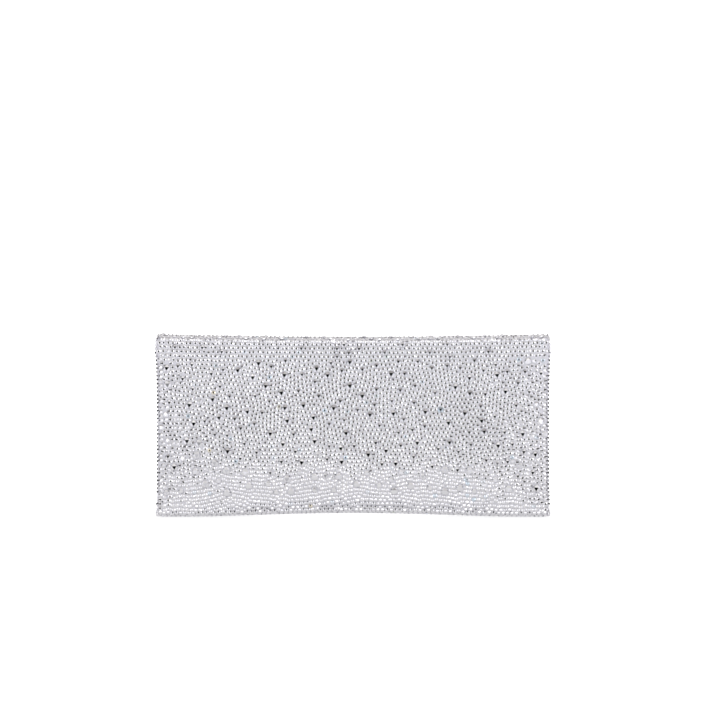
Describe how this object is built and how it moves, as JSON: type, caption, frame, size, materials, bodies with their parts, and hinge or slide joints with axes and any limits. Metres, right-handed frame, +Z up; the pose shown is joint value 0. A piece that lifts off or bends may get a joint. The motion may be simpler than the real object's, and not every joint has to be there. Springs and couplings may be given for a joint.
{
  "type": "clutch purse",
  "caption": "Slim fold-over evening clutch covered all over in small clear crystals, with a magnetic snap under its flap and no strap.",
  "frame": {"origin": "on the ground, under the middle of the closed purse", "axes": "+Z up, +X along the purse's width, +Y towards the side the flap closes over, so the plain back faces -Y"},
  "size_m": [0.265, 0.0282, 0.1239],
  "materials": {
    "crystal": "foil-backed clear crystal stones, brilliant, faintly lavender",
    "satin": "silver-lavender satin",
    "lining": "fine pale grey satin lining",
    "board": "dense grey-brown stiffener board",
    "nickel": "nickel-plated pressed steel",
    "magnet": "plain ferrite ring magnet"
  },
  "bodies": {
    "body": {"back_crystals": "crystal", "back_panel": "satin", "back_board": "board", "base_board": "board", "back_lining": "lining", "back_trim_left": "crystal", "back_trim_right": "crystal", "gusset_left": "satin", "gusset_right": "satin", "slip_pocket": "lining", "slip_pocket_binding": "satin"},
    "spine": {"spine_crystals": "crystal", "spine_panel": "satin", "spine_lining": "lining"},
    "flap": {"flap_crystals": "crystal", "flap_panel": "satin", "flap_board": "board", "flap_lining": "lining", "flap_piping": "satin", "snap_stud": "nickel", "snap_stud_washer": "nickel"},
    "front_wall": {"front_crystals": "crystal", "front_panel": "satin", "front_board": "board", "front_lining": "lining", "front_trim_left": "crystal", "front_trim_right": "crystal", "mouth_binding": "satin", "card_pocket_rear": "lining", "card_pocket_front": "lining", "snap_cup": "nickel", "snap_magnet": "magnet", "snap_plate": "nickel", "snap_plate_washer": "nickel"}
  },
  "joints": [
    {"name": "spine_fold", "type": "hinge", "parent": "body", "child": "spine", "pos_m": [0, -0.0055, 0.1216], "axis": [1, 0, 0], "range_deg": [0, 90]},
    {"name": "flap_fold", "type": "hinge", "parent": "spine", "child": "flap", "pos_m": [0, 0.0055, 0.1216], "axis": [1, 0, 0], "range_deg": [0, 90]},
    {"name": "front_tilt", "type": "hinge", "parent": "body", "child": "front_wall", "pos_m": [0, 0.0081, 0.00153], "axis": [-1, 0, 0], "range_deg": [0, 10], "deforming": ["gusset_left", "gusset_right"]}
  ],
  "couplings": [
    {"joint": "spine_fold", "follows": "flap_fold", "ratio": 1},
    {"joint": "front_tilt", "follows": "flap_fold", "ratio": 0.111}
  ]
}
